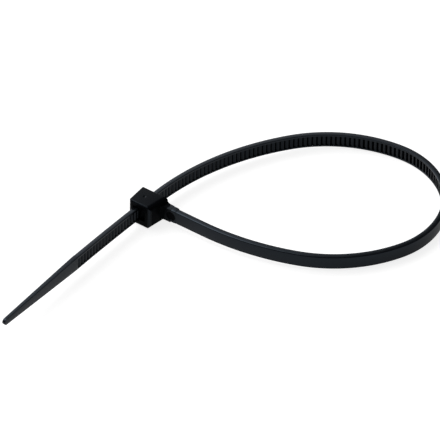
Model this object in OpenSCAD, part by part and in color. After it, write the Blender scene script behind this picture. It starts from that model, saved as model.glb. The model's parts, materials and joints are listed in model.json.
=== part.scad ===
// A moulded cable tie, closed in a loose loop and lying on the edge of its strap.
// One piece: toothed strap, locking head with its slot and pawl, and a smooth tapered tail.
// The outline is drawn in the head's own frame, seen along the width of the strap:
// X runs out along the strap, Y runs up the slot from the exit face to the entry face.

/* [Strap] */
// Width of the strap from edge to edge
strap_w = 3.7; // [3.0:0.1:4.8]
// Thickness of the strap over its rails
strap_t = 1.35; // [1.1:0.05:1.5]
// Rounding of the strap's four long edges
edge_r = 0.22; // [0.1:0.02:0.3]
// Width of the plain rail on each side of the teeth
rail_w = 0.48; // [0.3:0.02:0.8]

/* [Teeth] */
// Distance from one tooth to the next
tooth_pitch = 1.15; // [0.9:0.05:1.6]
// Height of a tooth from its root to its crest
tooth_h = 0.4; // [0.25:0.05:0.5]
// Length of a tooth's flat crest
crest_len = 0.3; // [0.15:0.05:0.45]
// How far the crests lie below the rails
crest_drop = 0.06; // [0.02:0.02:0.12]
// Plain length between the neck and the first tooth
plain_len = 0.8; // [0.4:0.1:5]

/* [Loop] */
// Radius of the bundle that the round end holds
bundle_r = 19.4; // [15:0.1:24]
// Turn of the round end, in degrees
end_turn = 122; // [112:1:130]
// Radius of the bend between the round end and the near flank
near_bend_r = 34.8; // [28:0.1:42]
// Turn of that bend
near_bend_turn = 42.5; // [38:0.5:46]
// Radius of the near flank
near_flank_r = 66; // [50:1:80]
// Turn of the near flank
near_flank_turn = 21; // [18:0.5:24]
// Radius of the bend between the round end and the far flank
far_bend_r = 34.8; // [28:0.1:42]
// Turn of that bend
far_bend_turn = 45; // [40:0.5:50]

/* [Head] */
// Depth of the head from its exit face to its entry face
head_depth = 6.0; // [4.6:0.1:7]
// Wall between the slot and the head's back, at the exit
back_wall = 1.5; // [0.7:0.05:1.8]
// Wall in front of the pawl, at the exit
front_wall = 1.35; // [0.8:0.05:1.5]
// Wall on each side of the slot
side_wall = 1.3; // [0.8:0.05:1.6]
// Lean of the front face towards the strap, in degrees
front_lean = 12; // [8:0.5:18]
// Rounding of the head's edges
head_r = 0.6; // [0.2:0.05:0.7]
// Rounding of its three corners seen along the width of the strap
corner_r = 1.0; // [0.5:0.05:1.1]
// Rounding of the front edges, from which the shoulders sweep
crown_r = 1.3; // [0.5:0.05:1.5]
// Length of the shoulders that sweep from the head down to the strap
shoulder_len = 2.3; // [1.5:0.1:3]
// Fillet between the front face and the strap
front_fillet = 1.0; // [0.4:0.1:1.4]

/* [Slot and pawl] */
// Lean of the slot towards the strap, in degrees
slot_lean = 5; // [2:0.5:7]
// Room between the strap and the slot on each face
slot_clear = 0.15; // [0.1:0.01:0.25]
// Room between the strap's edges and the slot on each side
slot_side_clear = 0.2; // [0.1:0.01:0.3]
// Size of the bevel round the slot's entry
lead_in = 0.4; // [0.2:0.05:0.5]
// Thickness of the pawl behind its teeth
pawl_t = 0.85; // [0.6:0.05:1.2]
// Room behind the pawl for it to spring back
flex_gap = 0.8; // [0.5:0.05:1.2]
// Length of the free part of the pawl
pawl_len = 3.5; // [3.0:0.1:3.8]
// Height of the pawl's tip above the exit face
pawl_rise = 0.6; // [0.3:0.05:0.8]
// Number of teeth on the pawl
pawl_teeth = 2; // [1:1:3]
// Room between the pawl's teeth and the strap's
mesh_clear = 0.05; // [0.04:0.01:0.08]

/* [Neck] */
// Length of the thick smooth neck beyond the head
neck_len = 3.8; // [3.5:0.1:6]
// How far the strap's inner face lies below the entry face
neck_drop = 0.6; // [0.5:0.05:0.9]
// Extra thickness of the neck on its inner face
neck_inner = 0.25; // [0.1:0.05:0.35]
// Extra thickness of the neck on its outer face
neck_outer = 0.08; // [0.04:0.01:0.15]
// Radius of the round mould mark on the neck
mark_r = 1.25; // [0.8:0.05:1.4]
// Depth of that mark
mark_depth = 0.12; // [0.05:0.01:0.2]
// Radius of the small dimple on the head's upper side
dimple_r = 0.42; // [0.2:0.02:0.6]
// Depth of the dimple
dimple_depth = 0.12; // [0.05:0.01:0.2]

/* [Tail] */
// Length of the toothed tail beyond the head
tail_teeth_len = 23.5; // [15:0.5:60]
// Turn of that length, in degrees
tail_turn = 2; // [0:0.5:6]
// Length of the smooth tip beyond the last tooth
tip_len = 26; // [18:0.5:35]
// Width of the tip at its rounded end
tip_w = 1.7; // [1.2:0.1:2.4]
// Thickness of the tip at its rounded end
tip_t = 0.9; // [0.7:0.05:1.1]

/* [Lay] */
// Turn of the whole tie on the table, in degrees
lay_turn = -34.5; // [-45:0.5:-25]

/* [Hidden] */
$fn = 180;
nylon = [0.1, 0.1, 0.11];
// Facets round a quarter of a small edge
edge_steps = 3;
// Facets round a corner of the head
corner_steps = 5;
// Each stretch of strap runs this far into the next, and every second stretch is a hair slimmer,
// so that the two merge without surfaces that only just touch
lap = 0.15;
hair = 0.005;
// Cutters run this far past the faces they open
past = 1;

// Slot and pawl, across the slot from its middle line
slot_half_t = strap_t / 2 + slot_clear;
slot_half_w = strap_w / 2 + slot_side_clear;
pawl_back = slot_half_t + pawl_t;
pocket_side = pawl_back + flex_gap;
// The pawl fits between the rails of the strap
pawl_w = strap_w - 2 * rail_w - 2 * mesh_clear;
pocket_w = pawl_w + 2 * slot_side_clear;
pocket_top = pawl_rise + pawl_len;

// Head
head_w = 2 * (slot_half_w + side_wall);
head_back = -slot_half_t - back_wall;
head_front = pocket_side + front_wall;
lean_run = tan(front_lean);

// Strap at the neck
neck_y = head_depth - neck_drop - strap_t / 2;
neck_x = head_front + neck_y * lean_run;
neck_low = neck_y - strap_t / 2 - neck_outer;
neck_high = neck_y + strap_t / 2 + neck_inner;
neck_end = neck_x + neck_len;
neck_w = strap_w + 2 * neck_outer;
// The root blends the head into the neck and stands this much proud of it
root_proud = 0.03;
root_end = neck_x + shoulder_len;

// Teeth, measured from the strap's middle plane towards the inside of the loop
crest_at = strap_t / 2 - crest_drop;
root_at = crest_at - tooth_h;
clear_at = strap_t / 2 + past / 2;

// Headings of the strap where each arc ends, from 0 at the neck to the slot's own direction
heading_1 = near_flank_turn;
heading_2 = heading_1 + near_bend_turn;
heading_3 = heading_2 + end_turn;
heading_4 = heading_3 + far_bend_turn;
heading_5 = 270 - slot_lean;

// What an arc of unit radius travels while its heading turns from a to b
function travel(a, b) = [sin(b) - sin(a), cos(a) - cos(b)];
function arc_len(r, turn) = r * turn * PI / 180;

// The last arc's radius and the straight run at the neck close the loop exactly
end_r = bundle_r + strap_t / 2;
given = near_flank_r * travel(0, heading_1) + near_bend_r * travel(heading_1, heading_2)
    + end_r * travel(heading_2, heading_3) + far_bend_r * travel(heading_3, heading_4);
entry_run = (head_depth + past) / cos(slot_lean);
entry = entry_run * [sin(slot_lean), cos(slot_lean)];
left = entry - [neck_x, neck_y] - given;
closing = travel(heading_4, heading_5);
far_flank_r = left[1] / closing[1];
neck_run = left[0] - far_flank_r * closing[0];

// Every stretch of strap as [length, turn], from the neck to the end of the tip
STRETCHES = [
    [neck_run, 0],
    [arc_len(near_flank_r, near_flank_turn), near_flank_turn],
    [arc_len(near_bend_r, near_bend_turn), near_bend_turn],
    [arc_len(end_r, end_turn), end_turn],
    [arc_len(far_bend_r, far_bend_turn), far_bend_turn],
    [arc_len(far_flank_r, heading_5 - heading_4), heading_5 - heading_4],
    [entry_run, 0],
    [tail_teeth_len, tail_turn],
    [tip_len, 0]
];
tip_stretch = len(STRETCHES) - 1;
tail_stretch = tip_stretch - 1;

// The place [run, x, y, heading] at a distance along a stretch
function along(start, stretch, run) =
    let (bend = stretch[1] / stretch[0], h = start[3] + bend * run)
    stretch[1] == 0
    ? [start[0] + run, start[1] + run * cos(h), start[2] + run * sin(h), h]
    : let (r = 180 / PI / bend)
        [start[0] + run, start[1] + r * (sin(h) - sin(start[3])), start[2] + r * (cos(start[3]) - cos(h)), h];

function stretch_start(i) =
    i == 0 ? [0, neck_x, neck_y, 0] : along(stretch_start(i - 1), STRETCHES[i - 1], STRETCHES[i - 1][0]);

STARTS = [for (i = [0 : tip_stretch]) stretch_start(i)];

// The point beside the strap's middle line, at a run from the neck and an offset to the inside
function beside(run, offset) =
    let (
        i = max([for (k = [0 : tip_stretch]) if (k == 0 || STARTS[k][0] <= run) k]),
        p = along(STARTS[i], STRETCHES[i], run - STARTS[i][0])
    )
    [p[1] - offset * sin(p[3]), p[2] + offset * cos(p[3])];

exit_run = STARTS[tail_stretch][0];
teeth_end = STARTS[tip_stretch][0];
tail_end = teeth_end + tip_len;
// The steep face of one tooth stands against the pawl's lowest tooth, and the others follow from it
mesh_run = exit_run - pawl_rise / cos(slot_lean);
first_tooth = ceil((neck_len + plain_len - mesh_run) / tooth_pitch);
last_tooth = floor((teeth_end - mesh_run) / tooth_pitch) - 1;
function tooth_run(k) = mesh_run + k * tooth_pitch;

// Lay on the table: the round end comes down until its edge and a corner of the head both touch
function laid(p) = [p[0] * cos(lay_turn) - p[1] * sin(lay_turn), p[0] * sin(lay_turn) + p[1] * cos(lay_turn)];
head_corner = laid([head_front - crown_r + (head_depth - head_r) * lean_run, head_depth - head_r]);
edge_places = concat(
    [for (run = [0 : tooth_pitch / 2 : teeth_end]) [run, strap_t / 2]],
    [[tail_end - edge_r, tip_t / 2], [tail_end, tip_t / 2 - edge_r]]
);
edge_points = [for (place = edge_places, side = [-1, 1]) laid(beside(place[0], side * place[1]))];
edge_xs = [for (p = edge_points) p[0]];
edge_ys = [for (p = edge_points) p[1]];
middle_x = (max(edge_xs) + min(edge_xs)) / 2;
middle_y = (max(edge_ys) + min(edge_ys)) / 2;
rest_tilt = atan((head_w - strap_w) / 2 / (max(edge_xs) - edge_r - head_corner[0]));
lift = (head_corner[0] - middle_x) * sin(rest_tilt) + head_w / 2 * cos(rest_tilt);

// A rectangle round the origin with rounded corners
function corner_arc(x, y, r, from, steps) =
    [for (i = [0 : steps]) let (a = from + 90 * i / steps) [x + r * cos(a), y + r * sin(a)]];
function rounded_rect(a, b, r, steps) =
    let (x = a / 2 - r, y = b / 2 - r)
    concat(
        corner_arc(x, y, r, 0, steps),
        corner_arc(-x, y, r, 90, steps),
        corner_arc(-x, -y, r, 180, steps),
        corner_arc(x, -y, r, 270, steps)
    );

// The corner at b of the outline a, b, c as an arc that touches both sides
function unit(v) = v / norm(v);
function rounded_corner(a, b, c, r, steps) =
    let (
        to_a = unit(a - b),
        to_c = unit(c - b),
        half = acos(to_a * to_c) / 2,
        middle = b + unit(to_a + to_c) * r / sin(half),
        first = b + to_a * r / tan(half) - middle,
        side = sign(to_a[0] * to_c[1] - to_a[1] * to_c[0]),
        sweep = side * (180 - 2 * half)
    )
    [for (i = [0 : steps]) let (t = -sweep * i / steps)
        middle + [first[0] * cos(t) - first[1] * sin(t), first[0] * sin(t) + first[1] * cos(t)]];

// An outline of corners [x, y, radius], with each corner rounded by its own radius
function rounded(corners, steps) =
    let (n = len(corners), at = [for (c = corners) [c[0], c[1]]])
    [for (i = [0 : n - 1]) each corners[i][2] == 0
        ? [at[i]]
        : rounded_corner(at[(i + n - 1) % n], at[i], at[(i + 1) % n], corners[i][2], steps)];

// Section of the strap: across its thickness, then across its width
module section(t, w) {
    polygon(rounded_rect(t, w, edge_r, edge_steps));
}

// A straight bar of strap along X, from a start to an end
module bar(from, to, t, w) {
    translate([from, 0, 0])
        rotate([90, 0, 90])
            linear_extrude(to - from)
                section(t, w);
}

module stretch(i) {
    start = STARTS[i];
    run = STRETCHES[i][0];
    turn = STRETCHES[i][1];
    slim = i % 2 == 0 ? 2 * hair : 0;
    translate([start[1], start[2], 0])
        rotate([0, 0, start[3]])
            if (turn == 0) {
                bar(-lap, run + lap, strap_t - slim, strap_w - slim);
            } else {
                r = run / turn * 180 / PI;
                lap_turn = lap / run * turn;
                translate([0, r, 0])
                    rotate([0, 0, -90 - lap_turn])
                        rotate_extrude(angle = turn + 2 * lap_turn)
                            translate([r, 0])
                                section(strap_t - slim, strap_w - slim);
            }
}

// The room between the teeth, open to the inside of the loop
module tooth_space() {
    teeth = [for (k = [first_tooth : last_tooth]) each [
        beside(tooth_run(k), root_at),
        beside(tooth_run(k), crest_at),
        beside(tooth_run(k) + crest_len, crest_at)
    ]];
    back = [for (k = [last_tooth + 1 : -1 : first_tooth - 1]) beside(tooth_run(k), clear_at)];
    ends = [beside(tooth_run(last_tooth + 1), root_at)];
    start = [beside(tooth_run(first_tooth - 1) + crest_len, root_at)];
    linear_extrude(strap_w - 2 * rail_w, center = true)
        polygon(concat(start, teeth, ends, back));
}

// The smooth tail tip, which narrows and thins to a round end
module tip() {
    start = STARTS[tip_stretch];
    translate([start[1], start[2], 0])
        rotate([0, 0, start[3]])
            hull() {
                bar(-lap / 2, lap, strap_t - 2 * hair, strap_w - 2 * hair);
                translate([tip_len - tip_w / 2, 0, 0])
                    rotate([90, 0, 0]) {
                        cylinder(r = tip_w / 2, h = tip_t - 2 * edge_r, center = true, $fn = 32);
                        cylinder(r = tip_w / 2 - edge_r, h = tip_t, center = true, $fn = 32);
                    }
            }
}

module strap() {
    difference() {
        for (i = [0 : tail_stretch])
            stretch(i);
        tooth_space();
    }
    tip();
}

// The head seen along the strap's width, with the root of the neck
module head_plan() {
    polygon(rounded([
        [head_back, 0, corner_r],
        [head_front, 0, corner_r],
        [head_front + (neck_low - root_proud) * lean_run, neck_low - root_proud, front_fillet],
        [root_end, neck_low - root_proud, 0],
        [root_end, neck_high + root_proud, 0],
        [neck_x + head_r * 2, neck_high + root_proud, 0],
        [neck_x, head_depth, head_r / 2],
        [head_back, head_depth, corner_r]
    ], corner_steps));
}

// Half of the head's outline seen down the slot, which sweeps from the head to the neck
module head_width_outline() {
    fall = (head_w - neck_w) / 2 - root_proud;
    sweep = [for (i = [1 : corner_steps * 2]) let (a = 90 * i / (corner_steps * 2))
        [head_front + shoulder_len * (1 - cos(a)), head_w / 2 - crown_r - (fall - crown_r) * sin(a)]];
    crown = corner_arc(head_front - crown_r, head_w / 2 - crown_r, crown_r, 0, corner_steps);
    top = concat([[root_end + past, neck_w / 2 + root_proud]], [for (i = [len(sweep) - 1 : -1 : 0]) sweep[i]], crown);
    bottom = [for (i = [len(top) - 1 : -1 : 0]) [top[i][0], -top[i][1]]];
    // Behind the front edges it stays clear of the sides, which are cut flat by the other outlines
    clear_x = head_front - crown_r;
    clear_back = head_back - head_depth;
    clear_w = head_w / 2 + past;
    clear = [[clear_x, clear_w], [clear_back, clear_w], [clear_back, -clear_w], [clear_x, -clear_w]];
    polygon(concat(top, clear, bottom));
}

module head_block() {
    intersection() {
        linear_extrude(head_w + past, center = true)
            head_plan();
        // Front edges and shoulders, which lean with the front face
        multmatrix([[1, lean_run, 0, 0], [0, 1, 0, 0], [0, 0, 1, 0]])
            rotate([-90, 0, 0])
                translate([0, 0, -past])
                    linear_extrude(head_depth + 2 * past)
                        head_width_outline();
        // Long edges of the entry and exit faces
        translate([root_end, head_depth / 2, 0])
            rotate([0, -90, 0])
                linear_extrude(root_end - head_back + past)
                    polygon(rounded_rect(head_w, head_depth, head_r, corner_steps));
        // Edges of the back face
        rotate([-90, 0, 0])
            translate([(root_end + head_back) / 2 + past, 0, -past])
                linear_extrude(head_depth + 2 * past)
                    polygon(rounded_rect(root_end - head_back + 2 * past, head_w, head_r, corner_steps));
    }
}

// The slot, with a bevel round its entry
module slot() {
    top = head_depth / cos(slot_lean);
    rotate([0, 0, -slot_lean]) {
        linear_extrude(2 * slot_half_w, center = true)
            polygon([
                [-slot_half_t, -past],
                [slot_half_t, -past],
                [slot_half_t, top - lead_in],
                [slot_half_t + lead_in + past, top + past],
                [-slot_half_t - lead_in - past, top + past],
                [-slot_half_t, top - lead_in]
            ]);
    }
}

// The hollow that the pawl springs back into, open at the exit
module pocket() {
    rotate([0, 0, -slot_lean])
        linear_extrude(pocket_w, center = true)
            polygon(rounded([
                [0, -past, 0],
                [pocket_side, -past, 0],
                [pocket_side, pocket_top, flex_gap / 2 - hair],
                [pawl_back, pocket_top, flex_gap / 2 - hair],
                [pawl_back, pocket_top - flex_gap, 0],
                [0, pocket_top - flex_gap, 0]
            ], corner_steps));
}

// The pawl hangs from the head beside the slot, and its teeth stand in those of the strap
module pawl() {
    steep = [root_at + mesh_clear, pawl_rise / cos(slot_lean) + mesh_clear];
    // Run of the ramp for each millimetre that it rises, as on the strap's own teeth
    ramp = (tooth_pitch - crest_len) / tooth_h;
    face = slot_half_t;
    rotate([0, 0, -slot_lean])
        linear_extrude(pawl_w, center = true) {
            polygon([
                [face + lap, steep[1]],
                [pawl_back, steep[1] + pawl_t / 2],
                [pawl_back, pocket_top],
                [face, pocket_top],
                [face, steep[1] + lap]
            ]);
            for (k = [0 : pawl_teeth - 1])
                translate([0, k * tooth_pitch])
                    polygon([
                        steep,
                        [face + lap, steep[1]],
                        [face + lap, steep[1] + (face + lap - steep[0]) * ramp],
                        [steep[0], steep[1] + mesh_clear]
                    ]);
        }
}

module neck() {
    t = neck_high - neck_low;
    translate([0, (neck_high + neck_low) / 2, 0])
        bar(neck_x - past / 2, neck_end, t, neck_w);
}

// A shallow round mark left by the mould on the neck's outer face
module neck_mark() {
    translate([(root_end + neck_end) / 2 - mark_r / 2, neck_low - past + mark_depth, 0])
        rotate([-90, 0, 0])
            cylinder(r = mark_r, h = past);
}

// A small round dimple in the middle of the head's upper side
module dimple() {
    ball_r = (dimple_r * dimple_r + dimple_depth * dimple_depth) / 2 / dimple_depth;
    translate([(head_back + head_front) / 2 - dimple_r, head_depth / 2, head_w / 2 + ball_r - dimple_depth])
        sphere(r = ball_r);
}

module head() {
    difference() {
        union() {
            head_block();
            neck();
        }
        slot();
        pocket();
        neck_mark();
        dimple();
    }
    pawl();
}

module cable_tie() {
    color(nylon)
        translate([0, 0, lift])
            rotate([0, rest_tilt, 0])
                translate([-middle_x, -middle_y, 0])
                    rotate([0, 0, lay_turn]) {
                        head();
                        strap();
                    }
}

cable_tie();
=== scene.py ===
# %% [markdown]
# # A moulded cable tie, closed in a loose loop
# The real tie is one moulding of black nylon: a strap with fine ratchet teeth, a square head with
# a slot and a springy pawl, a thick neck between them and a long smooth tip. It lies on the edge
# of its strap, so the loop is seen from above as a drawn-out drop.
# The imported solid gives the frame. Its one node is replaced here by finer pieces of the same form,
# because the teeth and the rounded edges are what the light picks out on a black part.

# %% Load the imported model
import json
import math

import bmesh
import bpy
from mathutils import Matrix, Vector


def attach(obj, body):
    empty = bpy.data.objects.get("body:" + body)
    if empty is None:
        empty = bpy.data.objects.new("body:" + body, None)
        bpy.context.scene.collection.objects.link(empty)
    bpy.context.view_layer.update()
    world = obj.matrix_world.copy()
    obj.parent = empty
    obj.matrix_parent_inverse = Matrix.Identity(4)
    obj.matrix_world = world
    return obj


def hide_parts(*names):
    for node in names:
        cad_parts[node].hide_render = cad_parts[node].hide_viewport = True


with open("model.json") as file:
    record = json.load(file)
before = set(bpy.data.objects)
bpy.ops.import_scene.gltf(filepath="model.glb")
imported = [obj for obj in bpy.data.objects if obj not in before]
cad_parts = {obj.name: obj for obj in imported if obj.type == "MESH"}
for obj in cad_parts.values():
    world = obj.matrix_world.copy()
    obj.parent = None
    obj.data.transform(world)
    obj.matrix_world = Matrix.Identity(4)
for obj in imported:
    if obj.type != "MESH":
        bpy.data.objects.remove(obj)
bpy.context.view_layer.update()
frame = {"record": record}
MM = 0.001
HAIR = 0.01 * MM  # a length too small to see

# %% [markdown]
# ## Sizes
# A part like this is drawn in the frame of its head: X runs out along the strap, Y runs up the
# slot from the exit face to the entry face, and Z runs across the strap. All pieces are made
# flat in that frame and laid on the table together at the end, so that they can't drift apart.

# %% Sizes of the strap, the loop and the tail
STRAP_W = 3.7 * MM
STRAP_T = 1.35 * MM
EDGE_R = 0.22 * MM
INNER_EDGE_R = 0.08 * MM
RAIL_W = 0.48 * MM
LIP_R = 0.05 * MM
CROWN_IN = 3  # degrees by which the upper edge falls towards the inside of the loop
CROWN_OUT = 10  # and towards its outside
PLAIN_LEN = 0.8 * MM
TAIL_TEETH_LEN = 23.5 * MM
TAIL_TURN = math.radians(2)
TIP_LEN = 26 * MM
TIP_W = 1.7 * MM
TIP_T = 0.9 * MM

TOOTH_PITCH = 1.15 * MM
TOOTH_H = 0.4 * MM
CREST_LEN = 0.3 * MM
CREST_DROP = 0.06 * MM
TOOTH_EASE = 0.05 * MM

BUNDLE_R = 19.4 * MM
NEAR_FLANK = (66 * MM, math.radians(21))
NEAR_BEND = (34.8 * MM, math.radians(42.5))
ROUND_END = (BUNDLE_R + STRAP_T / 2, math.radians(122))
FAR_BEND = (34.8 * MM, math.radians(45))
LAY_TURN = math.radians(-34.5)

# %% Sizes of the head, its slot and the neck
HEAD_DEPTH = 6.0 * MM
HEAD_R = 0.6 * MM
CORNER_R = 1.0 * MM
CROWN_R = 1.3 * MM
FRONT_LEAN = math.tan(math.radians(12))
FRONT_FILLET = 1.0 * MM
SHOULDER_LEN = 2.3 * MM
BACK_WALL = 1.5 * MM
FRONT_WALL = 1.35 * MM
SIDE_WALL = 1.3 * MM

SLOT_LEAN = math.radians(5)
SLOT_HALF_T = STRAP_T / 2 + 0.15 * MM
SLOT_HALF_W = STRAP_W / 2 + 0.2 * MM
LEAD_IN = 0.4 * MM
SLOT_EASE = 0.1 * MM
CUTTER_R = 0.12 * MM
PAWL_T = 0.85 * MM
PAWL_LEN = 3.5 * MM
PAWL_RISE = 0.6 * MM
PAWL_TEETH = 2
MESH_CLEAR = 0.05 * MM
FLEX_GAP = 0.8 * MM
POCKET_PLAY = 0.2 * MM

NECK_LEN = 3.8 * MM
NECK_DROP = 0.6 * MM
NECK_INNER = 0.25 * MM
NECK_OUTER = 0.08 * MM
NECK_EASE = 0.1 * MM
PLAIN_LAP = 0.06 * MM
MARK_R = 1.25 * MM
MARK_DEPTH = 0.12 * MM
MARK_FLARE = 0.1 * MM
DIMPLE_R = 0.42 * MM
DIMPLE_DEPTH = 0.12 * MM

HEAD_W = 2 * (SLOT_HALF_W + SIDE_WALL)
HEAD_BACK = -SLOT_HALF_T - BACK_WALL
PAWL_BACK = SLOT_HALF_T + PAWL_T
POCKET_SIDE = PAWL_BACK + FLEX_GAP
HEAD_FRONT = POCKET_SIDE + FRONT_WALL
NECK_Y = HEAD_DEPTH - NECK_DROP - STRAP_T / 2
NECK_X = HEAD_FRONT + NECK_Y * FRONT_LEAN
NECK_LOW = NECK_Y - STRAP_T / 2 - NECK_OUTER
NECK_HIGH = NECK_Y + STRAP_T / 2 + NECK_INNER
NECK_END = NECK_X + NECK_LEN
NECK_W = STRAP_W + 2 * NECK_OUTER
ROOT_END = NECK_X + SHOULDER_LEN
MARK_X = (ROOT_END + NECK_END) / 2 - MARK_R / 2
ROOT_PROUD = 0.03 * MM
PAST = 1 * MM  # how far a cutter reaches past what it cuts
print("head in mm:", [round(v / MM, 2) for v in (HEAD_FRONT - HEAD_BACK, HEAD_DEPTH, HEAD_W)])

# %% [markdown]
# ## The strap's route
# A closed tie bends in smooth arcs, tight where it grips and almost straight beside the head.
# The route could be a hand-drawn curve, but a chain of arcs that touch is truer: each arc starts
# with the heading that the one before it ended with. The last arc's radius and the straight run at
# the neck are solved, so that the strap comes back exactly into its own slot.

# %% The chain of arcs
def travel(a, b):
    """What an arc of unit radius travels while its heading turns from a to b."""
    return Vector((math.sin(b) - math.sin(a), math.cos(a) - math.cos(b)))


def after(place, length, turn):
    """The place (x, y, heading) at the end of a stretch with that length and turn."""
    x, y, heading = place
    if turn == 0:
        return x + length * math.cos(heading), y + length * math.sin(heading), heading
    step = travel(heading, heading + turn) * length / turn
    return x + step.x, y + step.y, heading + turn


arcs = [NEAR_FLANK, NEAR_BEND, ROUND_END, FAR_BEND]
slot_heading = math.radians(270) - SLOT_LEAN
heading = 0
given = Vector((0, 0))
for radius, turn in arcs:
    given += radius * travel(heading, heading + turn)
    heading += turn
entry_run = (HEAD_DEPTH + PAST) / math.cos(SLOT_LEAN)
entry = entry_run * Vector((math.sin(SLOT_LEAN), math.cos(SLOT_LEAN)))
left = entry - Vector((NECK_X, NECK_Y)) - given
closing = travel(heading, slot_heading)
far_flank_r = left.y / closing.y
neck_run = left.x - far_flank_r * closing.x
arcs.append((far_flank_r, slot_heading - heading))

stretches = [(neck_run, 0)]
stretches += [(radius * turn, turn) for radius, turn in arcs]
stretches += [(entry_run, 0), (TAIL_TEETH_LEN, TAIL_TURN)]
starts = [(0, (NECK_X, NECK_Y, 0))]
for length, turn in stretches:
    run, place = starts[-1]
    starts.append((run + length, after(place, length, turn)))
teeth_end = starts[-1][0]
exit_run = teeth_end - TAIL_TEETH_LEN
print("straight at the neck in mm:", round(neck_run / MM, 2))
print("far flank's radius in mm:", round(far_flank_r / MM, 2))
print("strap from the neck to its tip in mm:", round((teeth_end + TIP_LEN) / MM, 1))


# %% Any place along the strap
def place_at(run):
    """The place (x, y, heading) on the strap's middle line at a run from the neck."""
    i = max(k for k in range(len(stretches)) if k == 0 or starts[k][0] <= run)
    length, turn = stretches[i]
    part = run - starts[i][0]
    return after(starts[i][1], part, turn * part / length)


MESH_RUN = exit_run - PAWL_RISE / math.cos(SLOT_LEAN)
first_tooth = math.ceil((NECK_LEN + PLAIN_LEN - MESH_RUN) / TOOTH_PITCH)
last_tooth = math.floor((teeth_end - MESH_RUN) / TOOTH_PITCH) - 1
teeth_start = MESH_RUN + first_tooth * TOOTH_PITCH
groove_start = teeth_start - TOOTH_PITCH + CREST_LEN / 2
groove_end = MESH_RUN + (last_tooth + 1) * TOOTH_PITCH - TOOTH_EASE
teeth = last_tooth - first_tooth + 1
print("teeth:", teeth)

# %% [markdown]
# ## The frame on the table
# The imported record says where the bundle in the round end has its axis. The flat drawing is
# turned, leaned by the small angle of that axis and moved until its own round end lies there.

# %% From the flat drawing to the table
bundle = {mount["name"]: mount for mount in frame["record"]["mounts"]}["bundle"]
lean = math.atan2(bundle["axis"][0], bundle["axis"][2])
end_x, end_y, end_heading = starts[3][1]
end_r = ROUND_END[0]
end_centre = Vector((end_x - end_r * math.sin(end_heading), end_y + end_r * math.cos(end_heading), 0))
to_table = (
    Matrix.Translation(bundle["pos_m"])
    @ Matrix.Rotation(lean, 4, "Y")
    @ Matrix.Rotation(LAY_TURN, 4, "Z")
    @ Matrix.Translation(-end_centre)
)
head_at = to_table @ Vector((0, 0, 0))
print("lean in degrees:", round(math.degrees(lean), 3))
print("head at in mm:", [round(v / MM, 2) for v in head_at])


# %% [markdown]
# ## Helpers for outlines and solids
# Most faces of a moulding come from an outline that is pushed through a block, so the pieces are
# made from short outlines with rounded corners. A prism pushes one outline straight through, and
# a loft joins several rings that have the same number of points.

# %% Outlines
def arc(x, y, radius, start, turn, steps):
    """Points on an arc round (x, y), in degrees."""
    angles = [math.radians(start + turn * i / steps) for i in range(steps + 1)]
    return [(x + radius * math.cos(a), y + radius * math.sin(a)) for a in angles]


def rounded_rect(a, b, radius, steps):
    x = a / 2 - radius
    y = b / 2 - radius
    corners = [(x, y, 0), (-x, y, 90), (-x, -y, 180), (x, -y, 270)]
    return [p for cx, cy, start in corners for p in arc(cx, cy, radius, start, 90, steps)]


def rounded(corners, steps):
    """An outline of corners (x, y, radius), with each corner rounded by its own radius."""
    outline = []
    for i, (x, y, radius) in enumerate(corners):
        here = Vector((x, y))
        if radius == 0:
            outline.append((x, y))
            continue
        before = (Vector(corners[i - 1][:2]) - here).normalized()
        beyond = (Vector(corners[(i + 1) % len(corners)][:2]) - here).normalized()
        half = before.angle(beyond) / 2
        middle = here + (before + beyond).normalized() * radius / math.sin(half)
        first = here + before * radius / math.tan(half) - middle
        side = math.copysign(1, before.x * beyond.y - before.y * beyond.x)
        sweep = -side * (math.pi - 2 * half)
        for k in range(steps + 1):
            spoke = Matrix.Rotation(sweep * k / steps, 2) @ first
            outline.append(tuple(middle + spoke))
    return outline


# %% Solids
def solid(name, bm):
    """A new object from a bmesh, with its normals turned outwards."""
    bmesh.ops.recalc_face_normals(bm, faces=bm.faces)
    mesh = bpy.data.meshes.new(name)
    bm.to_mesh(mesh)
    bm.free()
    piece = bpy.data.objects.new(name, mesh)
    bpy.context.scene.collection.objects.link(piece)
    return piece


def loft(name, rings):
    bm = bmesh.new()
    rows = [[bm.verts.new(point) for point in ring] for ring in rings]
    count = len(rows[0])
    for row, following in zip(rows, rows[1:]):
        for i in range(count):
            j = (i + 1) % count
            bm.faces.new((row[i], row[j], following[j], following[i]))
    bm.faces.new(rows[0])
    bm.faces.new(rows[-1])
    return solid(name, bm)


def prism(name, outline, low, high, a=(1, 0, 0), b=(0, 1, 0), c=(0, 0, 1)):
    """An outline in the directions a and b, pushed along c from low to high."""
    a, b, c = Vector(a), Vector(b), Vector(c)
    return loft(name, [[a * x + b * y + c * level for x, y in outline] for level in (low, high)])


WELD = 0.002 * MM  # an edge shorter than this is taken away after a cut


def combine(piece, operation, tools):
    """Adds, cuts or keeps what the tools share with the piece, and deletes the tools."""
    for tool in tools:
        step = piece.modifiers.new(tool.name, "BOOLEAN")
        step.operation = operation
        step.object = tool
        step.solver = "EXACT"
    depsgraph = bpy.context.evaluated_depsgraph_get()
    made = bpy.data.meshes.new_from_object(piece.evaluated_get(depsgraph))
    piece.modifiers.clear()
    piece.data = made
    bm = bmesh.new()
    bm.from_mesh(made)
    bmesh.ops.dissolve_degenerate(bm, edges=bm.edges, dist=WELD)
    bm.to_mesh(made)
    bm.free()
    for tool in tools:
        bpy.data.objects.remove(tool)
    return piece


def smooth(piece, angle):
    """Shades the piece smooth, apart from edges sharper than the angle."""
    piece.data.shade_smooth()
    piece.data.set_sharp_from_angle(angle=math.radians(angle))


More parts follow.
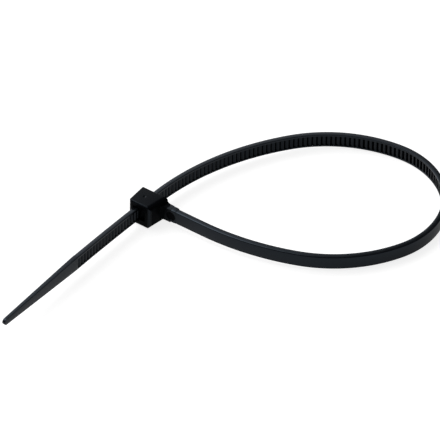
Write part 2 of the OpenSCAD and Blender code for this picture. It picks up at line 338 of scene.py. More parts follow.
# %% [markdown]
# ## The strap's teeth
# The strap is a flat band with a raised rail along each edge, and between the rails runs a row of
# saw teeth. One tooth could be copied along a curve, but then each copy would stand on the strap as
# a separate block. Here Geometry Nodes sweep the strap's whole section through rings that sit just
# where a tooth has its corners, and lift only the floor between the rails to the height of the
# tooth there. The result is a single closed skin, as the real moulding is.
# The moulding's inner edges are crisp and its outer ones soft, and its upper edge falls outwards.
# That is little to look at, but it decides which side of the band catches the light.

# %% The section and one tooth as outlines
ROOT_AT = STRAP_T / 2 - CREST_DROP - TOOTH_H
GROOVE_HALF = STRAP_W / 2 - RAIL_W
EDGE_STEPS = 5
CROWN_STEPS = 4
LIP_STEPS = 3


def crowned_edge(thickness, width):
    """The upper edge of a bar, from its crisp inner to its soft outer corner, crowned between."""
    start = math.radians(90 - CROWN_IN)
    end = math.radians(90 + CROWN_OUT)
    rounding = INNER_EDGE_R * (1 - math.cos(start)) + EDGE_R * (1 + math.cos(end))
    radius = (thickness - rounding) / (math.cos(start) - math.cos(end))
    middle_a = thickness / 2 - INNER_EDGE_R - (radius - INNER_EDGE_R) * math.cos(start)
    middle_b = width / 2 - radius
    inner_b = middle_b + (radius - INNER_EDGE_R) * math.sin(start)
    outer_b = middle_b + (radius - EDGE_R) * math.sin(end)
    inner = arc(thickness / 2 - INNER_EDGE_R, inner_b, INNER_EDGE_R, 0, 90 - CROWN_IN, EDGE_STEPS)
    top = arc(middle_a, middle_b, radius, 90 - CROWN_IN, CROWN_IN + CROWN_OUT, CROWN_STEPS)
    outer = arc(EDGE_R - thickness / 2, outer_b, EDGE_R, 90 + CROWN_OUT, 90 - CROWN_OUT, EDGE_STEPS)
    return inner + top[1:-1] + outer


def strap_section():
    """Points (towards the inside of the loop, across the strap) round the toothed strap."""
    upper = arc(STRAP_T / 2 - LIP_R, GROOVE_HALF + LIP_R, LIP_R, -90, 90, LIP_STEPS)
    upper = [(ROOT_AT, GROOVE_HALF)] + upper + crowned_edge(STRAP_T, STRAP_W)
    return upper + [(a, -b) for a, b in reversed(upper)]


def tooth_outline():
    """Points (along the strap, height) on one tooth, from the foot of its steep face."""
    fall = TOOTH_H / (TOOTH_PITCH - CREST_LEN)
    ease = TOOTH_EASE
    crest_end = CREST_LEN + ease
    halfway = (CREST_LEN + TOOTH_PITCH) / 2
    return [
        (-ease, 0),
        (-ease * 0.3, ease * 0.3),
        (0, ease),
        (ease * 0.1, TOOTH_H - ease * 1.2),
        (ease * 0.4, TOOTH_H - ease * 0.3),
        (ease * 1.2, TOOTH_H),
        (CREST_LEN - ease, TOOTH_H),
        (CREST_LEN, TOOTH_H - ease * 0.2),
        (crest_end, TOOTH_H - fall * ease),
        (halfway, TOOTH_H / 2),
        (TOOTH_PITCH - ease * 2, fall * ease * 2),
    ]


print("points in the section:", len(strap_section()), "rings to a tooth:", len(tooth_outline()))


# %% Helper curves that the node tree reads
def chain(name, points, closed=False):
    """An object that only holds points joined by edges."""
    mesh = bpy.data.meshes.new(name)
    edges = [(i, i + 1) for i in range(len(points) - 1)]
    if closed:
        edges.append((len(points) - 1, 0))
    mesh.from_pydata([(*p, 0)[:3] for p in points], edges, [])
    holder = bpy.data.objects.new(name, mesh)
    bpy.context.scene.collection.objects.link(holder)
    return holder


ROUTE_STEP = 0.1 * MM
route_points = [place_at(ROUTE_STEP * i)[:2] for i in range(math.ceil(teeth_end / ROUTE_STEP) + 2)]
route = chain("strap_route", route_points)
section = chain("strap_section", strap_section(), closed=True)
tooth = chain("tooth_outline", tooth_outline())
print("points on the route:", len(route_points))


# %% Helpers for node trees
def node(tree, kind, settings=None, **inputs):
    """A new node. A value for an input is a socket to link or a constant."""
    made = tree.nodes.new(kind)
    for name, value in (settings or {}).items():
        setattr(made, name, value)
    for name, value in inputs.items():
        wire(tree, made.inputs[name.replace("_", " ")], value)
    return made


def wire(tree, socket, value):
    if isinstance(value, bpy.types.NodeSocket):
        tree.links.new(value, socket)
    else:
        socket.default_value = value


def maths(tree, operation, *values):
    made = node(tree, "ShaderNodeMath", {"operation": operation})
    for socket, value in zip(made.inputs, values):
        wire(tree, socket, value)
    return made.outputs[0]


def vector_maths(tree, operation, *values):
    made = node(tree, "ShaderNodeVectorMath", {"operation": operation})
    for socket, value in zip(made.inputs, values):
        wire(tree, socket, value)
    return made.outputs[0]


def scaled(tree, vector, factor):
    made = node(tree, "ShaderNodeVectorMath", {"operation": "SCALE"})
    wire(tree, made.inputs[0], vector)
    wire(tree, made.inputs["Scale"], factor)
    return made.outputs[0]


def mapped(tree, value, start, end, low=0, high=1):
    """Runs from low to high while the value runs from start to end."""
    ends = {"From_Min": start, "From_Max": end, "To_Min": low, "To_Max": high}
    return node(tree, "ShaderNodeMapRange", Value=value, **ends).outputs[0]


# %% [markdown]
# ### The tree
# Ring number n belongs to tooth n // rings and to corner n % rings of the tooth's outline. That
# corner's place plus so many pitches gives the run along the route, where the tree samples the
# place and the heading. Every point of the swept skin then goes to its ring's place, plus its own
# share across the strap's thickness and width. At the end the tree paints shade on the teeth, and
# more on the gaps between them, as finishes that mirror less, because it still knows which ring
# each face came from.

# %% Inputs of the tree
strap_tree = bpy.data.node_groups.new("Toothed strap", "GeometryNodeTree")
faces_io = strap_tree.interface
faces_io.new_socket("Geometry", in_out="OUTPUT", socket_type="NodeSocketGeometry")
faces_io.new_socket("Geometry", in_out="INPUT", socket_type="NodeSocketGeometry")
INPUT_KINDS = {
    "Route": "NodeSocketObject",
    "Section": "NodeSocketObject",
    "Tooth outline": "NodeSocketObject",
    "Teeth": "NodeSocketInt",
    "Tooth pitch": "NodeSocketFloat",
    "First tooth at": "NodeSocketFloat",
    "Groove starts at": "NodeSocketFloat",
    "Root level": "NodeSocketFloat",
    "Nylon": "NodeSocketMaterial",
    "Nylon on the teeth": "NodeSocketMaterial",
    "Nylon between the teeth": "NodeSocketMaterial",
    "Between teeth below": "NodeSocketFloat",
}
for input_name, kind in INPUT_KINDS.items():
    faces_io.new_socket(input_name, in_out="INPUT", socket_type=kind)
print("inputs of the tree:", list(INPUT_KINDS))


# %% Rings along the route
def held_curve(tree, socket):
    """The points of an input object as a curve."""
    info = node(tree, "GeometryNodeObjectInfo", {"transform_space": "ORIGINAL"}, Object=socket)
    return info.outputs["Geometry"]


def capture(tree, geometry, **fields):
    """Keeps fields on the points of a geometry. Returns it and the kept fields by name."""
    made = node(tree, "GeometryNodeCaptureAttribute", {"domain": "POINT"}, Geometry=geometry)
    for name, (kind, field) in fields.items():
        made.capture_items.new(kind, name)
        wire(tree, made.inputs[name], field)
    return made.outputs["Geometry"], {name: made.outputs[name] for name in fields}


t = strap_tree
given_inputs = node(t, "NodeGroupInput").outputs
outline = held_curve(t, given_inputs["Tooth outline"])
rings_to_tooth = node(t, "GeometryNodeAttributeDomainSize", {"component": "MESH"}, Geometry=outline)
rings_to_tooth = rings_to_tooth.outputs["Point Count"]
index = node(t, "GeometryNodeInputIndex").outputs[0]
number = maths(t, "SUBTRACT", index, 1)
tooth_number = maths(t, "FLOOR", maths(t, "DIVIDE", number, rings_to_tooth))
corner_number = maths(t, "SUBTRACT", number, maths(t, "MULTIPLY", tooth_number, rings_to_tooth))
corner = node(t, "GeometryNodeSampleIndex", {"data_type": "FLOAT_VECTOR"}, Geometry=outline)
wire(t, corner.inputs["Index"], corner_number)
wire(t, corner.inputs["Value"], node(t, "GeometryNodeInputPosition").outputs[0])
corner = node(t, "ShaderNodeSeparateXYZ", Vector=corner.outputs["Value"]).outputs

run = maths(t, "ADD", given_inputs["First tooth at"], corner["X"])
run = maths(t, "ADD", run, maths(t, "MULTIPLY", tooth_number, given_inputs["Tooth pitch"]))
toothed = maths(t, "GREATER_THAN", index, 0)
untoothed = maths(t, "SUBTRACT", 1, toothed)
before_teeth = maths(t, "MULTIPLY", given_inputs["Groove starts at"], untoothed)
run = maths(t, "ADD", maths(t, "MULTIPLY", run, toothed), before_teeth)
height = maths(t, "MULTIPLY", corner["Y"], toothed)
print("nodes so far:", len(t.nodes))

# %% Sweep the section through the rings
route_curve = held_curve(t, given_inputs["Route"])
route_curve = node(t, "GeometryNodeMeshToCurve", Mesh=route_curve).outputs[0]
on_route = node(t, "GeometryNodeSampleCurve", {"mode": "LENGTH"}, Curves=route_curve, Length=run)
upwards = node(t, "ShaderNodeCombineXYZ", Z=1).outputs[0]
inwards = vector_maths(t, "CROSS_PRODUCT", upwards, on_route.outputs["Tangent"])
ring_count = maths(t, "MULTIPLY", given_inputs["Teeth"], rings_to_tooth)
ring_count = maths(t, "ADD", ring_count, 2)
spine = node(t, "GeometryNodeCurvePrimitiveLine").outputs[0]
spine = node(t, "GeometryNodeResampleCurve", {"mode": "COUNT"}, Curve=spine, Count=ring_count)
ring_fields = {
    "Place": ("VECTOR", on_route.outputs["Position"]),
    "Inwards": ("VECTOR", inwards),
    "Height": ("FLOAT", height),
}
spine, ring = capture(t, spine.outputs[0], **ring_fields)
section_curve = held_curve(t, given_inputs["Section"])
section_curve = node(t, "GeometryNodeMeshToCurve", Mesh=section_curve).outputs[0]
section_place = node(t, "GeometryNodeInputPosition").outputs[0]
section_curve, point = capture(t, section_curve, Own=("VECTOR", section_place))
skin = node(t, "GeometryNodeCurveToMesh", Curve=spine, Profile_Curve=section_curve, Fill_Caps=True)
skin = skin.outputs[0]
print("nodes so far:", len(t.nodes))

# %% Move the skin to its place and give it its finishes
own = node(t, "ShaderNodeSeparateXYZ", Vector=point["Own"]).outputs
on_floor = maths(t, "COMPARE", own["X"], given_inputs["Root level"], HAIR)
thick = maths(t, "ADD", own["X"], maths(t, "MULTIPLY", on_floor, ring["Height"]))
final_place = vector_maths(t, "ADD", ring["Place"], scaled(t, ring["Inwards"], thick))
final_place = vector_maths(t, "ADD", final_place, scaled(t, upwards, own["Y"]))
skin = node(t, "GeometryNodeSetPosition", Geometry=skin, Position=final_place).outputs[0]
skin = node(t, "GeometryNodeRealizeInstances", Geometry=skin).outputs[0]
# the teeth get painted shade from a duller finish, the gaps between them a deeper painted shade
shaded_gap = maths(t, "LESS_THAN", ring["Height"], given_inputs["Between teeth below"])
shaded_gap = maths(t, "MULTIPLY", shaded_gap, on_floor)
finishes = ((True, "Nylon"), (on_floor, "Nylon on the teeth"), (shaded_gap, "Nylon between the teeth"))
for where, finish in finishes:
    skin = node(t, "GeometryNodeSetMaterial", Geometry=skin, Selection=where)
    wire(t, skin.inputs["Material"], given_inputs[finish])
    skin = skin.outputs[0]
node(t, "NodeGroupOutput", Geometry=skin)
print("nodes in the tree:", len(t.nodes))


# %% [markdown]
# ## Black nylon
# The tie is dyed black right through, and moulded in a polished tool: near black with a cold tint,
# half glossy, with the faint ripple and the fine grain that nylon takes as it cools. A plain black
# would look like a hole in the picture, so the roughness wanders a little, and two bumps of very
# different size break up the reflections, which are nearly all that shows on a black part.
# One dye serves four finishes. They are fitted to the photo's tones and not measured: the strap is
# polished and the head is satin. The teeth's duller finish is painted shade in the groove and, on the
# head's front corner, a painted glint; hollows that gather little light get painted shade from a
# matt finish that mirrors almost nothing.

# %% The material
DARK_DYE = (0.0015, 0.0017, 0.0022, 1)
PALE_DYE = (0.0028, 0.0031, 0.0040, 1)
COLD_TINT = (0.64, 0.8, 1.0, 1)
HANDLED_SIZE = 2.2 * MM
HANDLED_SPAN = (0.3, 0.7)  # nearly all of that noise lies between these
GRAIN_SIZE = 0.16 * MM
RIPPLE_SIZE = 3.5 * MM
WANDER = 0.05


def nylon(name, roughness, shine, grain_depth, ripple_depth):
    """Moulded black nylon. Patterns are sized in metres on the piece's own coordinates."""
    material = bpy.data.materials.new(name)
    material.use_nodes = True
    tree = material.node_tree
    surface = tree.nodes["Principled BSDF"]
    place = node(tree, "ShaderNodeTexCoord").outputs["Object"]

    def noise(size, detail, rough):
        made = node(tree, "ShaderNodeTexNoise", Vector=place, Scale=1 / size, Detail=detail)
        made.inputs["Roughness"].default_value = rough
        return made.outputs["Fac"]

    handled = noise(HANDLED_SIZE, 3, 0.6)
    grain = noise(GRAIN_SIZE, 2, 0.5)
    ripple = noise(RIPPLE_SIZE, 1, 0.4)
    dye = node(tree, "ShaderNodeMix", {"data_type": "RGBA"}, Factor=handled)
    dye.inputs["A"].default_value = DARK_DYE
    dye.inputs["B"].default_value = PALE_DYE
    wire(tree, surface.inputs["Base Color"], dye.outputs["Result"])
    wandering = mapped(tree, handled, *HANDLED_SPAN, roughness - WANDER, roughness + WANDER)
    wire(tree, surface.inputs["Roughness"], wandering)
    wide = node(tree, "ShaderNodeBump", Strength=1, Distance=ripple_depth, Height=ripple)
    fine = node(tree, "ShaderNodeBump", Strength=1, Distance=grain_depth, Height=grain)
    wire(tree, fine.inputs["Normal"], wide.outputs[0])
    wire(tree, surface.inputs["Normal"], fine.outputs[0])
    surface.inputs["Specular IOR Level"].default_value = shine
    surface.inputs["Specular Tint"].default_value = COLD_TINT
    return material


# %% The four finishes
strap_nylon = nylon("Polished black nylon", 0.22, 0.36, 0.004 * MM, 0.03 * MM)
head_nylon = nylon("Satin black nylon", 0.25, 0.105, 0.006 * MM, 0.03 * MM)
# the teeth's duller finish is painted shade in the groove; on the head's front corner it is a painted
# glint
teeth_shade_corner_glint_nylon = nylon("Black nylon with painted teeth shade and corner glint", 0.28, 0.26, 0.006 * MM, 0.02 * MM)
# painted shade for the hollows: a finish that mirrors almost nothing
shade_painted_nylon = nylon("Black nylon with painted shade", 0.4, 0.03, 0.006 * MM, 0.02 * MM)
print("materials:", [m.name for m in (strap_nylon, head_nylon, teeth_shade_corner_glint_nylon, shade_painted_nylon)])

# %% Make the toothed strap
# the gaps between the teeth get the deeper painted shade
SHADED_GAP_SHARE = 0.4  # up to this share of a tooth's height, the floor is a gap between teeth
strap = bpy.data.objects.new("strap", bpy.data.meshes.new("strap"))
bpy.context.scene.collection.objects.link(strap)
sweep = strap.modifiers.new("Toothed strap", "NODES")
sweep.node_group = strap_tree
INPUT_VALUES = {
    "Route": route,
    "Section": section,
    "Tooth outline": tooth,
    "Teeth": teeth,
    "Tooth pitch": TOOTH_PITCH,
    "First tooth at": teeth_start,
    "Groove starts at": groove_start,
    "Root level": ROOT_AT,
    "Nylon": strap_nylon,
    "Nylon on the teeth": teeth_shade_corner_glint_nylon,
    "Nylon between the teeth": shade_painted_nylon,
    "Between teeth below": SHADED_GAP_SHARE * TOOTH_H,
}
sockets = {item.name: item.identifier for item in faces_io.items_tree if item.in_out == "INPUT"}
for input_name, value in INPUT_VALUES.items():
    sweep[sockets[input_name]] = value
depsgraph = bpy.context.evaluated_depsgraph_get()
swept = bpy.data.meshes.new_from_object(strap.evaluated_get(depsgraph))
strap.modifiers.clear()
strap.data = swept
for helper in (route, section, tooth):
    bpy.data.objects.remove(helper)
print("strap's points and faces:", len(swept.vertices), len(swept.polygons))

# %% [markdown]
# ## The plain stretch and the tip
# Between the neck and the first tooth the strap is plain. Beyond the last tooth it is a smooth tip,
# which narrows and thins so that it threads easily into the slot. A flat plate with a tapered
# outline is enough for it, once its edges are rounded like those of the strap: soft on the outside
# and crisp on the inside.

# %% The tapered tip
TIP_STEPS = 24


def tip_outline():
    """Points (along, across) round the tip, with straight sides that touch its round end."""
    r = TIP_W / 2
    centre = TIP_LEN - r
    half_w = STRAP_W / 2
    slope = math.degrees(math.atan2(half_w, centre) - math.asin(r / math.hypot(half_w, centre)))
    end = arc(centre, 0, r, slope - 90, 180 - 2 * slope, TIP_STEPS)
    lead = teeth_end - groove_end
    return [(-lead, -half_w), (0, -half_w)] + end + [(0, half_w), (-lead, half_w)]


def tapered_tip():
    piece = prism("tip", tip_outline(), -STRAP_T / 2, STRAP_T / 2, (1, 0, 0), (0, 0, 1), (0, 1, 0))
    bm = bmesh.new()
    bm.from_mesh(piece.data)
    for v in bm.verts:
        v.co.y *= 1 - (1 - TIP_T / STRAP_T) * max(v.co.x, 0) / TIP_LEN
    for side, radius in ((-1, EDGE_R), (1, INNER_EDGE_R)):
        rim = [e for e in bm.edges if e.calc_face_angle() > 1 and max(v.co.x for v in e.verts) > -EDGE_R]
        rim = [e for e in rim if min(side * v.co.y for v in e.verts) > TIP_T / 4]
        bmesh.ops.bevel(bm, geom=rim, offset=radius, segments=EDGE_STEPS, profile=0.5, affect="EDGES")
    bm.to_mesh(piece.data)
    bm.free()
    x, y, heading = place_at(teeth_end)
    piece.data.transform(Matrix.Translation((x, y, 0)) @ Matrix.Rotation(heading, 4, "Z"))
    return piece


def bar(name, x, end, y, thickness, width, ease=0):
    """A straight bar along X with the strap's edges, whose far end may slope down by the ease."""
    levels = [(x, 0), (end - 5 * ease, 0), (end, ease)] if ease else [(x, 0), (end, 0)]
    rings = []
    for level, inset in levels:
        ring = crowned_edge(thickness - inset, width - inset)
        ring += [(a, -b) for a, b in reversed(ring)]
        rings.append([(level, y + a, b) for a, b in ring])
    return loft(name, rings)


tip = tapered_tip()
plain_start = NECK_END - PLAIN_LAP
plain = bar("strap_plain", plain_start, NECK_X + groove_start, NECK_Y, STRAP_T, STRAP_W)
print("faces of tip and plain stretch:", len(tip.data.polygons), len(plain.data.polygons))

# %% [markdown]
# ## The head
# The head is a block with a slot for the strap. Its front leans, and two shoulders sweep from it
# into the neck. It is what three outlines have in common: the one seen along the strap's width, the
# one seen down the slot and the one seen along the strap. The slot and the hollow behind the pawl
# are cut through it afterwards.

# %% Outlines of the head
CORNER_STEPS = 10
MARK_SIDES = 48


def head_plan():
    low = NECK_LOW - ROOT_PROUD
    high = NECK_HIGH + ROOT_PROUD
    return rounded(
        [
            (HEAD_BACK, 0, CORNER_R),
            (HEAD_FRONT, 0, CORNER_R),
            (HEAD_FRONT + low * FRONT_LEAN, low, FRONT_FILLET),
            (ROOT_END, low, 0),
            (ROOT_END, high, 0),
            (NECK_X + 2 * HEAD_R, high, HEAD_R),
            (NECK_X, HEAD_DEPTH, HEAD_R / 2),
            (HEAD_BACK, HEAD_DEPTH, CORNER_R),
        ],
        CORNER_STEPS,
    )


def head_width_outline():
    """Seen down the slot: the rounded front corners and the shoulders. The sides stay clear."""
    fall = (HEAD_W - NECK_W) / 2 - ROOT_PROUD
    steps = 2 * CORNER_STEPS
    half = [(ROOT_END + PAST, NECK_W / 2 + ROOT_PROUD)]
    for i in range(steps, 0, -1):
        a = math.radians(90) * i / steps
        across = HEAD_W / 2 - CROWN_R - (fall - CROWN_R) * math.sin(a)
        half.append((HEAD_FRONT + SHOULDER_LEN * (1 - math.cos(a)), across))
    half += arc(HEAD_FRONT - CROWN_R, HEAD_W / 2 - CROWN_R, CROWN_R, 0, 90, CORNER_STEPS)
    clear = HEAD_W / 2 + PAST
    half += [(HEAD_FRONT - CROWN_R, clear), (HEAD_BACK - HEAD_DEPTH, clear)]
    return half + [(x, -z) for x, z in reversed(half)]


# %% The block and its neck
def head_block():
    """The three outlines have unlike numbers of facets, so that their corners never coincide."""
    block = prism("head", head_plan(), -HEAD_W / 2 - PAST, HEAD_W / 2 + PAST)
    sheared = prism(
        "front", head_width_outline(), -PAST, HEAD_DEPTH + PAST, (1, 0, 0), (0, 0, 1), (FRONT_LEAN, 1, 0)
    )
    long_edges = rounded_rect(HEAD_DEPTH, HEAD_W, HEAD_R, CORNER_STEPS - 2)
    long_edges = [(y + HEAD_DEPTH / 2, z) for y, z in long_edges]
    across = prism(
        "across", long_edges, HEAD_BACK - PAST, ROOT_END + PAST, (0, 1, 0), (0, 0, 1), (1, 0, 0)
    )
    length = ROOT_END - HEAD_BACK + 2 * PAST
    back_edges = rounded_rect(length, HEAD_W, HEAD_R, CORNER_STEPS + 2)
    back_edges = [(x + HEAD_BACK + length / 2, z) for x, z in back_edges]
    back = prism("back", back_edges, -PAST, HEAD_DEPTH + PAST, (1, 0, 0), (0, 0, 1), (0, 1, 0))
    return combine(block, "INTERSECT", [sheared, across, back])


def cutter_down_slot(name, rings):
    """A cutter from rings (level up the slot, across the slot: low and high, half width)."""
    lean_back = Matrix.Rotation(-SLOT_LEAN, 4, "Z")
    made = []
    for level, low, high, half_w in rings:
        ring = rounded_rect(high - low, 2 * half_w, CUTTER_R, 3)
        made.append([lean_back @ Vector((x + (low + high) / 2, level, z)) for x, z in ring])
    return loft(name, made)


def slot_cutter():
    top = HEAD_DEPTH / math.cos(SLOT_LEAN)
    eased_exit = [(-PAST, SLOT_EASE), (0, SLOT_EASE), (SLOT_EASE, 0)]
    bevelled_entry = [(top - LEAD_IN, 0), (top, LEAD_IN), (top + PAST, LEAD_IN + PAST)]
    rings = []
    for level, more in eased_exit + bevelled_entry:
        flare = min(more, SLOT_EASE)
        rings.append((level, -SLOT_HALF_T - more, SLOT_HALF_T + more, SLOT_HALF_W + flare))
    return cutter_down_slot("slot", rings)


def pocket_cutter():
    top = PAWL_RISE + PAWL_LEN
    half_w = GROOVE_HALF - MESH_CLEAR + POCKET_PLAY
    end_r = FLEX_GAP / 2 - HAIR
    outline = rounded(
        [
            (0, -PAST, 0),
            (POCKET_SIDE, -PAST, 0),
            (POCKET_SIDE, top, end_r),
            (PAWL_BACK, top, end_r),
            (PAWL_BACK, top - FLEX_GAP, 0),
            (0, top - FLEX_GAP, 0),
        ],
        CORNER_STEPS,
    )
    cutter = prism("pocket", outline, -half_w, half_w)
    cutter.data.transform(Matrix.Rotation(-SLOT_LEAN, 4, "Z"))
    return cutter


def mark_cutter():
    """The round mould mark, with a wall that flares by MARK_FLARE towards the face."""
    floor_r = MARK_R - 0.6 * MARK_FLARE
    levels = (
        (NECK_LOW - PAST, MARK_R + MARK_DEPTH),
        (NECK_LOW, floor_r + MARK_FLARE),
        (NECK_LOW + MARK_DEPTH, floor_r),
    )
    rings = []
    for level, radius in levels:
        circle = arc(0, 0, radius, 0, 360 - 360 / MARK_SIDES, MARK_SIDES - 1)
        rings.append([(MARK_X + a, level, b) for a, b in circle])
    return loft("mark", rings)


def dimple_cutter():
    ball_r = (DIMPLE_R**2 + DIMPLE_DEPTH**2) / 2 / DIMPLE_DEPTH
    bm = bmesh.new()
    bmesh.ops.create_icosphere(bm, subdivisions=5, radius=ball_r)
    x = (HEAD_BACK + HEAD_FRONT) / 2 - DIMPLE_R
    bmesh.ops.translate(bm, verts=bm.verts, vec=(x, HEAD_DEPTH / 2, HEAD_W / 2 + ball_r - DIMPLE_DEPTH))
    return solid("dimple", bm)


head = head_block()
neck_y = (NECK_HIGH + NECK_LOW) / 2
neck = bar("neck", NECK_X - PAST / 2, NECK_END, neck_y, NECK_HIGH - NECK_LOW, NECK_W, NECK_EASE)
combine(head, "UNION", [neck])
combine(head, "DIFFERENCE", [slot_cutter(), pocket_cutter(), mark_cutter(), dimple_cutter()])
print("head's faces:", len(head.data.polygons))

# %% [markdown]
# ### A finish, a painted shade or a painted glint for each face of the head
# With one finish all over, the hollows of the head would shine as much as its open faces. The shade
# could be painted on as a texture, but the head has few faces and each lies wholly in one zone, so
# its place and direction are enough to choose: the neck is as polished as the strap, the front corner
# gets a painted glint from a shinier finish, and the slot, the mark, the shoulder and the face that
# the tail leaves get painted shade, a finish that mirrors almost nothing.

# %% Zones of the head
head_finishes = (head_nylon, strap_nylon, shade_painted_nylon, teeth_shade_corner_glint_nylon)
NEAR = 0.1 * MM  # the play at the border of a zone
FLUSH = 2 * HAIR  # the play for a face that lies flush with another
SHOULDER_START = HEAD_FRONT + 3 * NEAR
MARK_START = MARK_X - MARK_R
CORNER_TURN = (0.35, 0.85)  # how far a face on the front corner turns towards the front


def gets_painted_shade(at, normal):
    """Whether a face lies where hardly any light gets in, so that it gets painted shade."""
    in_slot = HEAD_BACK + CORNER_R < at.x < HEAD_FRONT - CORNER_R and NEAR < at.y < HEAD_DEPTH - NEAR
    between_walls = abs(at.z) < SLOT_HALF_W + NEAR
    on_mark = math.hypot(at.x - MARK_X, at.z) < MARK_R and abs(at.y - NECK_LOW - MARK_DEPTH) < FLUSH
    on_exit = normal.y < -0.99 and at.x < HEAD_FRONT and at.y < FLUSH
    on_shoulder = SHOULDER_START < at.x < MARK_START + 2 * NEAR and at.y < NECK_HIGH
    return on_mark or on_exit or on_shoulder or (between_walls and in_slot)


def finish_of(face):
    at, normal = face.center, face.normal
    # the hollows get painted shade
    if gets_painted_shade(at, normal):
        return shade_painted_nylon
    if at.x > ROOT_END or (at.x > MARK_START and normal.z > 0.5):
        return strap_nylon
    # a painted glint on the head's front corner, from a shinier finish than the head's own
    if at.x > HEAD_FRONT - CORNER_R and at.y < CORNER_R and CORNER_TURN[0] < normal.x < CORNER_TURN[1]:
        return teeth_shade_corner_glint_nylon
    return head_nylon


# %% Give the head its finishes
head.data.materials.clear()
for finish in head_finishes:
    head.data.materials.append(finish)
for face in head.data.polygons:
    face.material_index = head_finishes.index(finish_of(face))
used = [face.material_index for face in head.data.polygons]
print("head's faces by finish:", {m.name: used.count(i) for i, m in enumerate(head_finishes)})


# %% [markdown]
# ## The pawl
# The pawl is the tongue that locks the strap. It hangs in the hollow beside the slot from its upper
# end, so that it can spring back, and its two teeth stand between those of the strap.

# %% The pawl
def pawl_outline():
    """Points (across the slot, up the slot) round the pawl, in the slot's own frame."""
    top = PAWL_RISE + PAWL_LEN
    steep = PAWL_RISE / math.cos(SLOT_LEAN) + MESH_CLEAR
    tip_at = ROOT_AT + MESH_CLEAR
    ramp = (TOOTH_PITCH - CREST_LEN) / TOOTH_H
    outline = [(PAWL_BACK, top), (SLOT_HALF_T, top)]
    for k in reversed(range(PAWL_TEETH)):
        foot = steep + k * TOOTH_PITCH
        upper = foot + (SLOT_HALF_T - tip_at) * ramp
        if k < PAWL_TEETH - 1:
            upper = min(upper, foot + TOOTH_PITCH)
        outline += [(SLOT_HALF_T, upper), (tip_at, foot + MESH_CLEAR)]
        outline += [(tip_at, foot), (SLOT_HALF_T, foot)]
    outline = [p for i, p in enumerate(outline) if p not in outline[:i]]
    return outline + [(PAWL_BACK, steep + PAWL_T / 2)]


half_pawl = GROOVE_HALF - MESH_CLEAR
pawl = prism("pawl", pawl_outline(), -half_pawl, half_pawl)
pawl.data.transform(Matrix.Rotation(-SLOT_LEAN, 4, "Z"))
print("points round the pawl:", len(pawl_outline()))

# %% Lay the pieces on the table
# the pawl, down in its hollow, gets painted shade like the other hollows
for piece, finish in ((plain, strap_nylon), (tip, strap_nylon), (pawl, shade_painted_nylon)):
    piece.data.materials.clear()
    piece.data.materials.append(finish)
pieces = (strap, plain, tip, head, pawl)
for piece in pieces:
    piece.data.transform(to_table)
    smooth(piece, 30)
    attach(piece, "root")
    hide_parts("cable_tie")
print("pieces:", [piece.name for piece in pieces])

# %% [markdown]
# ## Table, light and camera
# A catalogue picture of a black part is taken on white, under broad soft light from above and
# behind, so that the upper edges shine and the faces turned to the camera stay dark. The table
# could be made white by more light, but then the part would be too light as well. Its material
# adds what is missing, for the camera and for what the nylon mirrors, and keeps the shadow.

# %% The table
TABLE_COLOUR = (0.45, 0.45, 0.45, 1)
WHITE = (1, 1, 1, 1)
LIFT_SEEN = 0.82
LIFT_MIRRORED = 0.3


def white_table():
    material = bpy.data.materials.new("White table")
    material.use_nodes = True
    tree = material.node_tree
    surface = tree.nodes["Principled BSDF"]
    surface.inputs["Base Color"].default_value = TABLE_COLOUR
    surface.inputs["Roughness"].default_value = 0.7
    surface.inputs["Specular IOR Level"].default_value = 0
    seen = node(tree, "ShaderNodeLightPath").outputs
    mirrored = maths(tree, "MAXIMUM", seen["Is Glossy Ray"], seen["Is Transmission Ray"])
    lift = maths(tree, "MULTIPLY", seen["Is Camera Ray"], LIFT_SEEN)
    lift = maths(tree, "ADD", lift, maths(tree, "MULTIPLY", mirrored, LIFT_MIRRORED))
    surface.inputs["Emission Color"].default_value = WHITE
    wire(tree, surface.inputs["Emission Strength"], lift)
    return material


bm = bmesh.new()
bmesh.ops.create_grid(bm, x_segments=1, y_segments=1, size=6)
table = solid("table", bm)
table.data.materials.append(white_table())
print("table's faces:", len(table.data.polygons))

# %% [markdown]
# ### The soft room
# The room behind the table is one bright wall. It reaches higher on the left than on the right,
# which is why the upper edge of the loop's near side shines only towards the head. A picture of a
# studio could be wrapped round the scene, but a few ramps over the direction say it more clearly.
# Each ramp starts where there is no wall and ends where there is all of it.

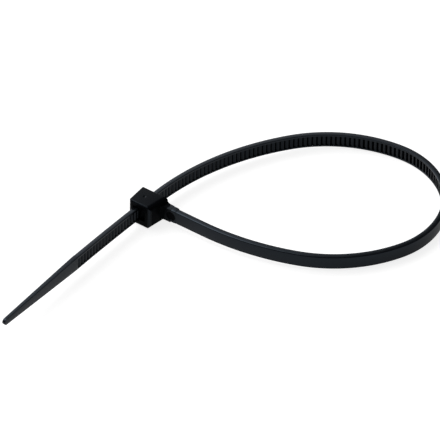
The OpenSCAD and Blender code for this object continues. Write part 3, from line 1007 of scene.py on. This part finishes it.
# %% The room
WALL_ON_Y = (-0.2, 0.4)
WALL_ON_HEIGHT = (0.95, 0.72)
WALL_ON_X = (0.25, -0.25)
WALL_SLOPE = 2
WALL_GLOW = 1.35
DIM_SHARE = 0.12  # what is left of the wall on the right
ROOM_GLOW = 0.12
world = bpy.data.worlds.new("Soft room")
bpy.context.scene.world = world
world.use_nodes = True
room = world.node_tree
towards = node(room, "ShaderNodeTexCoord").outputs["Generated"]
towards = node(room, "ShaderNodeSeparateXYZ", Vector=towards).outputs
slanted = maths(room, "ADD", towards["Z"], maths(room, "MULTIPLY", towards["X"], WALL_SLOPE))
behind = mapped(room, towards["Y"], *WALL_ON_Y)
wall = maths(room, "MULTIPLY", behind, mapped(room, slanted, *WALL_ON_HEIGHT))
left = maths(room, "ADD", mapped(room, towards["X"], *WALL_ON_X), DIM_SHARE)
wall = maths(room, "MULTIPLY", wall, left)
glow = maths(room, "ADD", maths(room, "MULTIPLY", wall, WALL_GLOW), ROOM_GLOW)
wire(room, room.nodes["Background"].inputs["Strength"], glow)
room.nodes["Background"].inputs["Color"].default_value = WHITE
print("nodes of the room:", len(room.nodes))


# %% The lamp
def softbox(name, place, width, height, power):
    """A soft square lamp, aimed at the middle of the table."""
    lamp = bpy.data.lights.new(name, "AREA")
    lamp.shape = "RECTANGLE"
    lamp.size = width
    lamp.size_y = height
    lamp.energy = power
    holder = bpy.data.objects.new(name, lamp)
    bpy.context.scene.collection.objects.link(holder)
    holder.location = place
    holder.rotation_euler = (-Vector(place)).to_track_quat("-Z", "Y").to_euler()
    return holder


key_box = softbox("key_box", place=(-0.7, 0.35, 0.95), width=1.2, height=1, power=8)
print("lamp:", key_box.name, "with", key_box.data.energy, "W")

# %% The camera
ELEVATION = math.radians(41.87)
BEARING = math.radians(0.69)
ROLL = math.radians(-0.58)
DISTANCE = 1.768
FRAME_PX = 440
PX_PER_M = 4206
SENSOR = 36
look_at = Vector((-1.79, 6.82, 0)) * MM
lens = bpy.data.cameras.new("camera")
lens.sensor_width = SENSOR
lens.lens = SENSOR * PX_PER_M * DISTANCE / FRAME_PX
camera = bpy.data.objects.new("camera", lens)
bpy.context.scene.collection.objects.link(camera)
stand = Matrix.Rotation(BEARING, 4, "Z") @ Matrix.Rotation(math.radians(90) - ELEVATION, 4, "X")
stand = stand @ Matrix.Rotation(ROLL, 4, "Z")
camera.matrix_world = Matrix.Translation(look_at) @ stand @ Matrix.Translation((0, 0, DISTANCE))
bpy.context.scene.camera = camera
bpy.context.scene.view_settings.view_transform = "Standard"
print("lens in mm:", round(lens.lens, 1))
